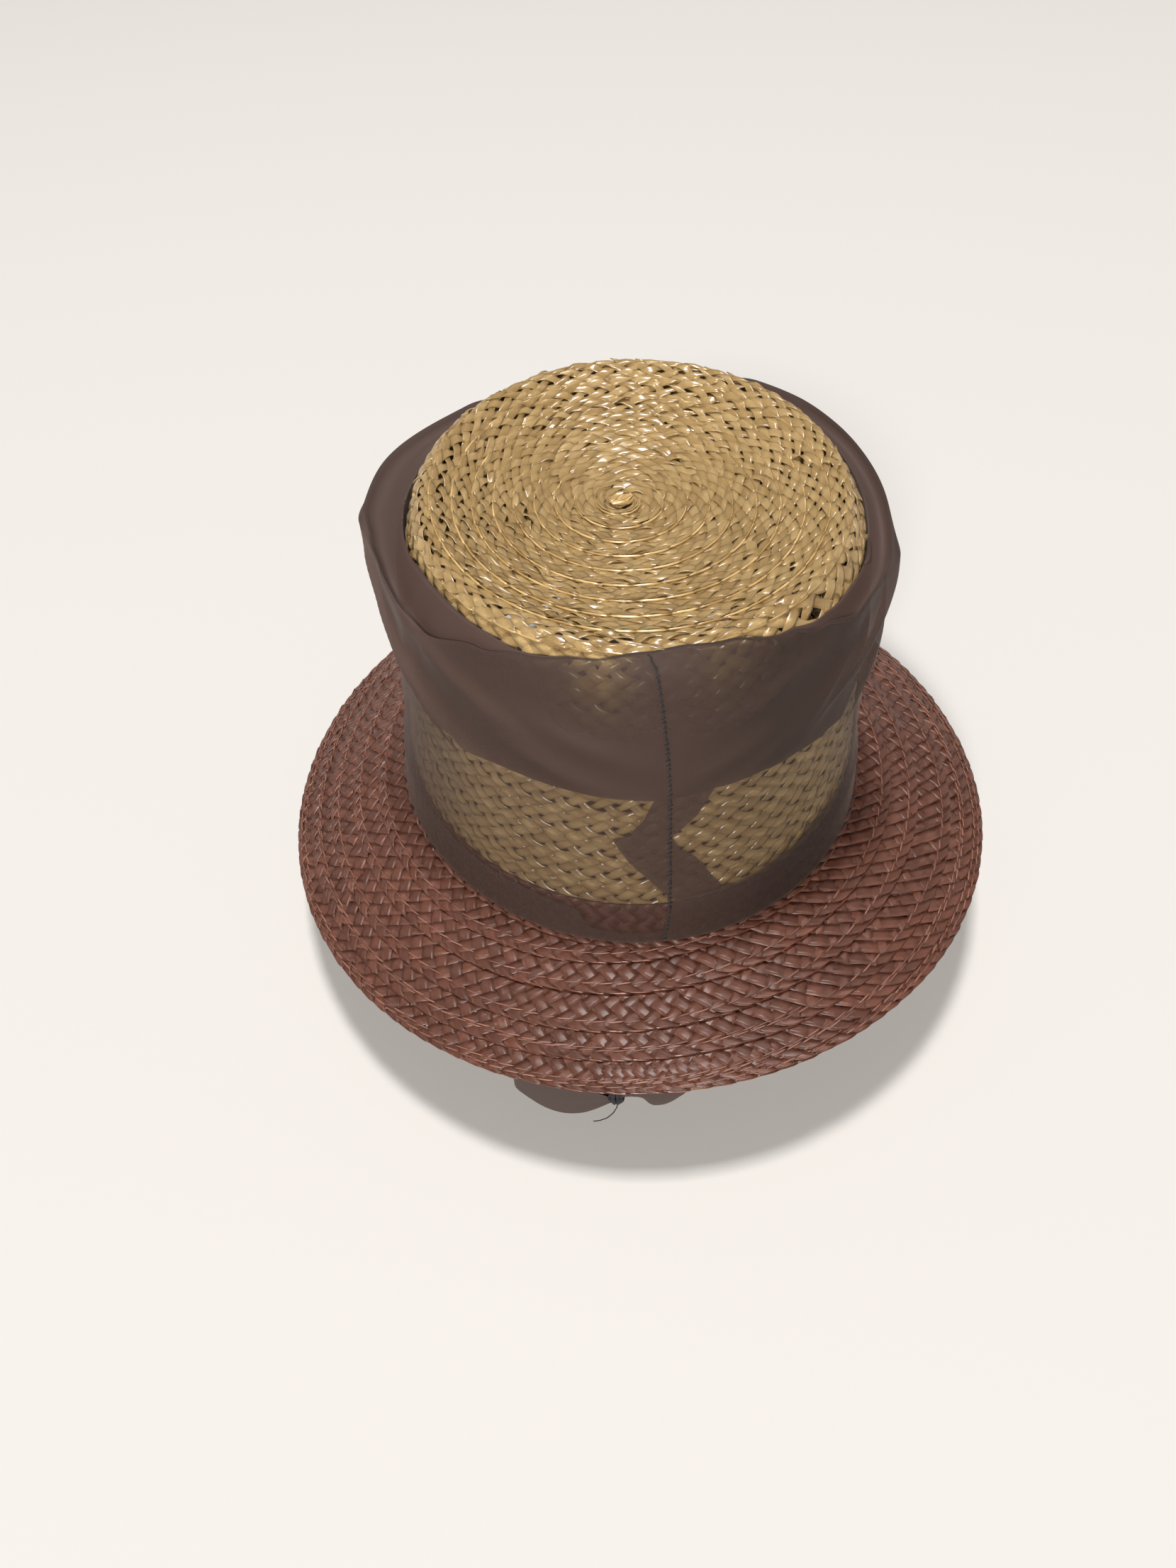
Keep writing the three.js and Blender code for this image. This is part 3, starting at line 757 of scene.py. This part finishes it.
# Height and share of the oval's half width that the straw has there
WALL_SWELL = np.array([(0, 1.0), (35, 1.004), (70, 1.006), (95, 1.0), (102, 0.99), (106, 0.965),
                       (108.8, 0.93)])
RIM_RISE = 5.6                     # how much higher the straw's rim is at the front
RIM_FROM, RIM_REACH = 95, 15       # the height where this starts, and how far it takes to be all
CHIFFON_OFF = 0.6                  # how far the cloth is off the straw everywhere
CHIFFON_FLARE = 2.6                # how late up the crown it starts to stand off further
COLLAR_ROOM, COLLAR_REACH = 1.3, 14  # how much further off over the turned-up row, and how high
HEM_CLEAR = 0.3                    # how high the hem hangs above the brim
CHIFFON_ROUND = 600                # steps round the sheet
OUTER_LAYER_OUT = 0.95             # how far out the outer layer lies, over the inner ones
OUTER_DENSITY, INNER_DENSITY, HEM_DENSITY = 0.40, 0.84, 0.68
CROWDED_MORE, BESIDE_MORE, DENSEST = 0.3, 0.32, 0.88
CLEAR_REACH = 38                   # how far round from the back the single layer stays clearest
FOLD_PAINTED_SHADING = 0.24                   # painted light and shade on the folds: how much lighter the upper side of a fold is painted, and darker the lower
RIGHT_PAINTED_SHADE = 0.34                  # painted shade: how much darker the cloth is painted away from the back's left, as if lit from the left
CHIFFON_BROWN = (0.062, 0.033, 0.025, 1)
# Painted shade and painted light on the cloth, for the lower and upper sides of its folds.
PAINTED_FOLD_SHADE, PAINTED_FOLD_LIGHT = (0.028, 0.0145, 0.011, 1), (0.112, 0.066, 0.050, 1)


def smooth_row(table, column, degrees):
    """A column of a table at an angle, eased level at each row as soft cloth hangs."""
    x, y = table[:, 0], table[:, column]
    i = np.clip(np.searchsorted(x, degrees, side="right") - 1, 0, len(x) - 2)
    t = np.clip((degrees - x[i]) / (x[i + 1] - x[i]), 0, 1)
    return y[i] + (y[i + 1] - y[i]) * t * t * (3 - 2 * t)


def fold_relief(angle, height):
    """How far the slanting folds lift the outer layer."""
    lift = 0
    for fold_angle, fold_height, slant, reach, spread, relief in SOFT_FOLDS:
        away = angle - math.radians(fold_angle)
        along = np.arctan2(np.sin(away), np.cos(away)) * BASE_HALF_WIDTH
        off = height - fold_height - along * slant
        lift = lift + relief * np.exp(-(along / reach) ** 2 - (off / spread) ** 2)
    return lift


def chiffon_place(degrees, height, out, flared=1.0):
    """A point of the chiffon at an angle and height, a distance out from its inner face; where
    flared is 0 the cloth hugs the straw."""
    angle = np.radians(degrees)
    share = np.clip(height / smooth_row(TOP_FOLD, 1, degrees), 0, 1)
    stand = smooth_row(TOP_FOLD, 2, degrees) * share ** CHIFFON_FLARE * flared
    over_collar = COLLAR_ROOM * (1 - np.clip((height - COLLAR_REACH) / COLLAR_REACH, 0, 1)) ** 2
    raised = RIM_RISE * (1 + np.sin(angle)) / 2 * np.clip((height - RIM_FROM) / RIM_REACH, 0, 1)
    swell = np.interp(height - raised, WALL_SWELL[:, 0], WALL_SWELL[:, 1])
    off = CHIFFON_OFF + over_collar + stand + out
    x, y = beside_oval(height, angle, off, swell)
    return np.stack([x, y, HEM_CLEAR + height + 0 * off], -1)


degrees = -180 + 360 * np.arange(CHIFFON_ROUND) / CHIFFON_ROUND
fold_top, fold_stand, fold_meets = (smooth_row(TOP_FOLD, c, degrees) for c in (1, 2, 3))
lower_edge, hem_edge = (smooth_row(LAYER_EDGES, c, degrees) for c in (1, 2))
sheet_rows = []
sheet_density = []
sheet_painted_shade = []


def add_layer(heights_from, heights_to, outs, steps, density, relief, flared=1.0):
    """Rows of the sheet from one height to another, at a distance out that may change."""
    for t in np.linspace(0, 1, steps):
        height = heights_from + (heights_to - heights_from) * t
        angle = np.radians(degrees)
        out = outs[0] + (outs[1] - outs[0]) * t + relief * fold_relief(angle, height)
        sheet_rows.append(chiffon_place(degrees, height, out, flared))
        sheet_density.append(density(height))
        # Painted light and shade: the upper side of a fold painted lighter and its lower side darker.
        slope = fold_relief(angle, height + 1) - fold_relief(angle, height - 1)
        # Painted shade: the cloth darker away from the back's left.
        to_right = np.clip((degrees + 90) / 25, 0, 1) * np.clip((180 - degrees) / 70, 0, 1)
        sheet_painted_shade.append(0.5 - FOLD_PAINTED_SHADING * relief * slope - RIGHT_PAINTED_SHADE * to_right)


def hem_density(height):
    """The turned-up hem is doubled close on itself."""
    return HEM_DENSITY + 0 * height


def outer_density(height):
    """The cloth crowds together where it stands off and round both sides of the crown."""
    stand = fold_stand * np.clip(height / fold_top, 0, 1) ** CHIFFON_FLARE
    crowded = levelled(np.clip(stand / 5, 0, 1))
    beside = levelled(np.clip((np.abs(degrees + 90) - CLEAR_REACH) / 45, 0, 1))
    return np.minimum(OUTER_DENSITY + CROWDED_MORE * crowded + BESIDE_MORE * beside, DENSEST)


def inner_density(height):
    """The inner layer lies doubled, except in two thin places beside the seam."""
    thin = 0
    for angle, reach, depth in THIN_PLACES:
        upper = np.clip((height - 80) / 22, 0, 1)
        thin = thin + depth * np.exp(-((degrees - angle) / reach) ** 2) * upper
    return INNER_DENSITY - thin


# The hem's inside, the outer layer, the top fold, the cloth that turns in over it, the inner layer
zero = 0 * degrees
add_layer(hem_edge, zero + 0.6, (0.45, 0.5), 6, hem_density, 0)
add_layer(zero + 0.1, fold_top - 0.6, (0.9, OUTER_LAYER_OUT), 86, outer_density, 1)
add_layer(fold_top, fold_top, (0.75, 0.55), 2, outer_density, 0)
for t in np.linspace(0.05, 1, 14):
    sink = POCKET * np.sin(math.pi * t ** 0.7) * np.clip(fold_stand / 5, 0, 1)
    height = fold_top - 0.5 * (1 - t) + (fold_meets - fold_top) * t * t - sink
    sheet_rows.append(chiffon_place(degrees, height, 0.4, 1 - t))
    sheet_density.append(inner_density(height) + 0.08)
    sheet_painted_shade.append(0.5 + 0 * height)
add_layer(fold_meets - 0.6, lower_edge, (0.35, 0.3), 26, inner_density, 0.75, 0.0)


def cloth_finish(name, colour, alpha, sheen):
    """Fine cloth: a close weave in relief and a soft sheen, seen through evenly."""
    material = plain_finish(name, colour, 0.7)
    shader = material.node_tree.nodes["Principled BSDF"]
    shader.inputs["Alpha"].default_value = alpha
    shader.inputs["Sheen Weight"].default_value = sheen
    shader.inputs["Sheen Tint"].default_value = (0.8, 0.58, 0.48, 1)
    shader.inputs["Sheen Roughness"].default_value = 0.35
    where = node(material, "ShaderNodeNewGeometry")
    weave = node(material, "ShaderNodeTexNoise", Scale=2600.0, Detail=2.0)
    join(material, where.outputs["Position"], weave.inputs["Vector"])
    relief = node(material, "ShaderNodeBump", Strength=0.12, Distance=0.00008)
    join(material, weave.outputs["Fac"], relief.inputs["Height"])
    join(material, relief.outputs["Normal"], shader.inputs["Normal"])
    return material


sheer = cloth_finish("sheer_chiffon", CHIFFON_BROWN, 1.0, 0.12)
# The cloth's colour carries painted light and shade: lighter on the upper side of each fold, darker on
# its lower side and away from the back's left.
painted_fold_light_shade = node(sheer, "ShaderNodeAttribute", attribute_name="painted_fold_light_shade")
painted_fold_colours = tone_ramp(sheer, PAINTED_FOLD_SHADE, CHIFFON_BROWN, PAINTED_FOLD_LIGHT, 0.0, 1.0)
join(sheer, painted_fold_light_shade.outputs["Fac"], painted_fold_colours.inputs["Fac"])
sheer_shader = sheer.node_tree.nodes["Principled BSDF"]
join(sheer, painted_fold_colours.outputs["Color"], sheer_shader.inputs["Base Color"])
crowding = node(sheer, "ShaderNodeAttribute", attribute_name="closeness")
join(sheer, crowding.outputs["Fac"], sheer_shader.inputs["Alpha"])
chiffon = mesh_piece(
    "chiffon_tube", np.concatenate(sheet_rows), wall_faces(len(sheet_rows), CHIFFON_ROUND), sheer)
closeness = chiffon.data.attributes.new("closeness", "FLOAT", "POINT")
closeness.data.foreach_set("value", np.concatenate(sheet_density).astype(np.float32))
painted_shade_marks = chiffon.data.attributes.new("painted_fold_light_shade", "FLOAT", "POINT")
painted_shade_marks.data.foreach_set("value", np.clip(np.concatenate(sheet_painted_shade), 0, 1).astype(np.float32))
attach(chiffon, "root")
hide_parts("chiffon_wrap")


# The seam at the back: the tube's two edges are joined by hand with dark thread, and the seam's
# spare cloth lies behind it in two cut points.
# Height and angle of the seam, and the spare cloth's left and right edges behind it
SEAM_LINE = np.array([(0.8, -91.4), (5.4, -91.1), (14.3, -90.4), (25.6, -90.3), (42, -90.6),
                      (62, -90.8), (76, -91.6), (93, -93), (104, -94.2), (108.2, -96.2)])
SPARE_CLOTH = np.array([(17.5, -90.6, -78.0), (19, -90.7, -78.4), (33, -99.2, -84.2),
                        (38.4, -101.6, -88.4), (43.2, -103.2, -90.1), (44, -99.9, -89.4),
                        (50.4, -96.5, -84.5), (60.5, -93.6, -80.3)])
SPARE_OUT = 0.25                   # how far out the spare cloth lies, under the outer layer
SPARE_ROWS, SPARE_STEPS = 60, 16
SEAM_THREAD, RUNG_THREAD = 0.28, 0.2  # half the thickness along the seam, and of the rungs across it
RUNG_SPACING = 1.9
BACK_RADIUS = 95.0                 # the crown's, for distances beside the seam

spare_rows = []
for height in np.linspace(SPARE_CLOTH[0, 0], SPARE_CLOTH[-1, 0], SPARE_ROWS):
    left_edge = np.interp(height, SPARE_CLOTH[:, 0], SPARE_CLOTH[:, 1])
    right_edge = np.interp(height, SPARE_CLOTH[:, 0], SPARE_CLOTH[:, 2])
    across = np.linspace(left_edge, right_edge, SPARE_STEPS)
    spare_rows.append(chiffon_place(across, height, SPARE_OUT))
seam_chiffon = cloth_finish("turned_chiffon", CHIFFON_BROWN, 0.72, 0.12)
spare_cloth = mesh_piece(
    "seam_spare_cloth", np.concatenate(spare_rows), wall_faces(SPARE_ROWS, SPARE_STEPS, closed=False),
    seam_chiffon)
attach(spare_cloth, "root")


def thread_tube(points, radius, sides=6):
    """A closed round thread through points, with its faces."""
    points = np.asarray(points, float)
    along = np.gradient(points, axis=0)
    along /= np.linalg.norm(along, axis=1, keepdims=True)
    aside = np.cross(along, np.where(np.abs(along[:, 2:]) > 0.9, [1.0, 0, 0], [0, 0, 1.0]))
    aside /= np.linalg.norm(aside, axis=1, keepdims=True)
    over = np.cross(along, aside)
    turn = np.arange(sides) * 2 * math.pi / sides
    rim = np.cos(turn)[None, :, None] * aside[:, None] + np.sin(turn)[None, :, None] * over[:, None]
    rim = points[:, None] + radius * rim
    last = (len(points) - 1) * sides
    ends = np.array([[0, 3, 2, 1], [0, 5, 4, 3], [last, last + 1, last + 2, last + 3],
                     [last, last + 3, last + 4, last + 5]])
    faces = np.concatenate([wall_faces(len(points), sides), ends])
    return rim.reshape(-1, 3), faces, np.zeros((rim[..., 0].size, 3))


def on_seam(height, aside, out):
    """A point on the outer layer at the seam, a distance to its right."""
    at = np.interp(height, SEAM_LINE[:, 0], SEAM_LINE[:, 1]) + math.degrees(aside / BACK_RADIUS)
    at = np.atleast_1d(at)
    height = np.minimum(height, smooth_row(TOP_FOLD, 1, at) - 0.3)
    return chiffon_place(at, height, OUTER_LAYER_OUT + out)[0]


dark_thread = cloth_finish("dark_thread", (0.014, 0.012, 0.014, 1), 1.0, 0.2)
seam_rng = np.random.default_rng(31)
seam_heights = np.arange(0.8, 108, 0.9)
seam_run = [on_seam(h, 0.1 * math.sin(h * 1.9), 0.18) for h in seam_heights]
seam_threads = [thread_tube(seam_run, SEAM_THREAD)]
for height in np.arange(1.6, 107.5, RUNG_SPACING):
    rise, lean = seam_rng.normal(0, 0.25), seam_rng.normal(0.6, 0.25)
    wide = seam_rng.uniform(0.45, 0.8)
    rung = []
    for t in np.linspace(0, 1, 5):
        arch = 0.12 + 0.3 * math.sin(math.pi * t)
        rung.append(on_seam(height + rise + lean * (t - 0.5), -wide + 2.1 * wide * t, arch))
    seam_threads.append(thread_tube(rung, RUNG_THREAD))
seam_stitches = braid_piece("seam_stitches", seam_threads, dark_thread)


# The bow under the back of the brim: two flat loops of brown ribbon on either side of a knot that
# is bound with dark blue thread, whose end is left loose.
BOW_ANGLE, BOW_IN, BOW_HANG = -100, 3.3, 2.9
# Distance along the rim from the knot, and how far down the ribbon's two edges are
LEFT_LOOP = np.array([(-1.2, 4.0, 7.0), (-5, 2.2, 10.4), (-11.5, 1.0, 15.0), (-18, 0.6, 16.6),
                      (-24, 0.6, 15.2), (-30, 0.8, 11.0), (-34.2, 1.6, 7.4)])
RIGHT_LOOP = np.array([(1.4, 2.2, 3.2), (6, 1.2, 3.2), (8.6, 0.8, 4.4), (10.6, 0.6, 7.6),
                       (14, 0.6, 8.6), (18, 0.6, 6.6), (21, 1.0, 3.6), (22.4, 1.4, 2.6)])
# The loose end of the knot's thread: along from the knot, down and out
TAIL = np.array([(0.4, 7.0, 0.6), (0.2, 9.0, 1.2), (-1.0, 11.6, 1.8), (-3.0, 14.2, 2.2),
                 (-5.4, 15.8, 2.4), (-7.4, 16.2, 2.6)])
KNOT_ALONG, KNOT_DROP = 0.2, 4.6
KNOT_HALF = (3.0, 3.0, 2.0)
KNOT_THREAD, TAIL_THREAD = 0.42, 0.2  # half the thickness as wound, and of the loose end
RIBBON_BROWN = (0.05, 0.030, 0.025, 1)


def under_brim(along, drop, out):
    """A point below the brim's edge: along it from the knot, down, and out from it."""
    angle = np.radians(BOW_ANGLE)
    where = brim_place(np.full(81, BRIM_WIDTH - BOW_IN), angle + np.linspace(-0.4, 0.4, 81))
    length = np.r_[0, np.cumsum(np.linalg.norm(np.diff(where[:, :2], axis=0), axis=1))]
    length = length - length[40]
    x, y, z = (np.interp(along, length, where[:, c]) for c in range(3))
    ahead_x, ahead_y = (np.interp(along + 1, length, where[:, c]) for c in range(2))
    size = np.hypot(ahead_x - x, ahead_y - y)
    return np.stack([x + (ahead_y - y) / size * out, y - (ahead_x - x) / size * out,
                     z - BOW_HANG - drop], -1)


def ribbon_loop(outline, gap):
    """A flat loop of ribbon: one leaf outside, folded round at the far end, and one leaf inside."""
    steps, wide = 40, 10
    t = np.r_[np.linspace(0, 1, steps), np.linspace(1, 0, steps)]
    side = np.r_[np.ones(steps), -np.ones(steps)]
    near_end = np.clip((1 - t) * 14, 0, 1)
    out = gap * side * np.sqrt(1 - (1 - near_end) ** 2 + 1e-3)
    outline_rows = outline[np.argsort(outline[:, 0])]
    along = outline[0, 0] + (outline[-1, 0] - outline[0, 0]) * t
    upper, lower = (eased(outline_rows, c, along) for c in (1, 2))
    share = np.linspace(0, 1, wide)[None, :]
    drop = upper[:, None] + (lower - upper)[:, None] * share
    pleat = 0.35 * np.cos(share * math.pi * 5) * np.exp(-5 * t)[:, None]
    bulge = 0.5 * (np.sin(math.pi * t) * side)[:, None] * np.sin(math.pi * share)
    points = under_brim(along[:, None] + 0 * share, drop, out[:, None] + pleat + bulge)
    faces = wall_faces(2 * steps, wide, closed=False)
    return points.reshape(-1, 3), faces, np.zeros((points[..., 0].size, 3))


ribbon = cloth_finish("brown_ribbon", RIBBON_BROWN, 1.0, 0.2)
bow_ribbon = braid_piece(
    "bow_ribbon", [ribbon_loop(LEFT_LOOP, 0.8), ribbon_loop(RIGHT_LOOP, 0.8)], ribbon)
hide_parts("bow_loop_left", "bow_loop_right")

navy_thread = cloth_finish("navy_thread", (0.012, 0.012, 0.018, 1), 1.0, 0.1)
knot_rng = np.random.default_rng(41)
knot_threads = []
turns = np.linspace(0, 2 * math.pi, 21)
for wind in np.linspace(-0.8, 0.8, 11):
    size = math.sqrt(1 - wind * wind)
    tilt = knot_rng.normal(0, 0.35)
    ring_points = under_brim(
        KNOT_ALONG + KNOT_HALF[0] * wind * 0.8 + tilt * np.sin(turns),
        KNOT_DROP + KNOT_HALF[1] * size * np.cos(turns),
        KNOT_HALF[2] * size * np.sin(turns))
    knot_threads.append(thread_tube(ring_points, KNOT_THREAD))
tail_marks = np.linspace(0, len(TAIL) - 1, 24)
tail_points = np.stack([np.interp(tail_marks, np.arange(len(TAIL)), TAIL[:, c]) for c in range(3)], -1)
knot_threads.append(thread_tube(under_brim(*tail_points.T), TAIL_THREAD))
knot = braid_piece("bow_knot_thread", knot_threads, navy_thread)
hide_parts("bow_knot")


size = {"cad": [list(c) for c in cad_box], "visual": [list(c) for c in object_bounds()]}
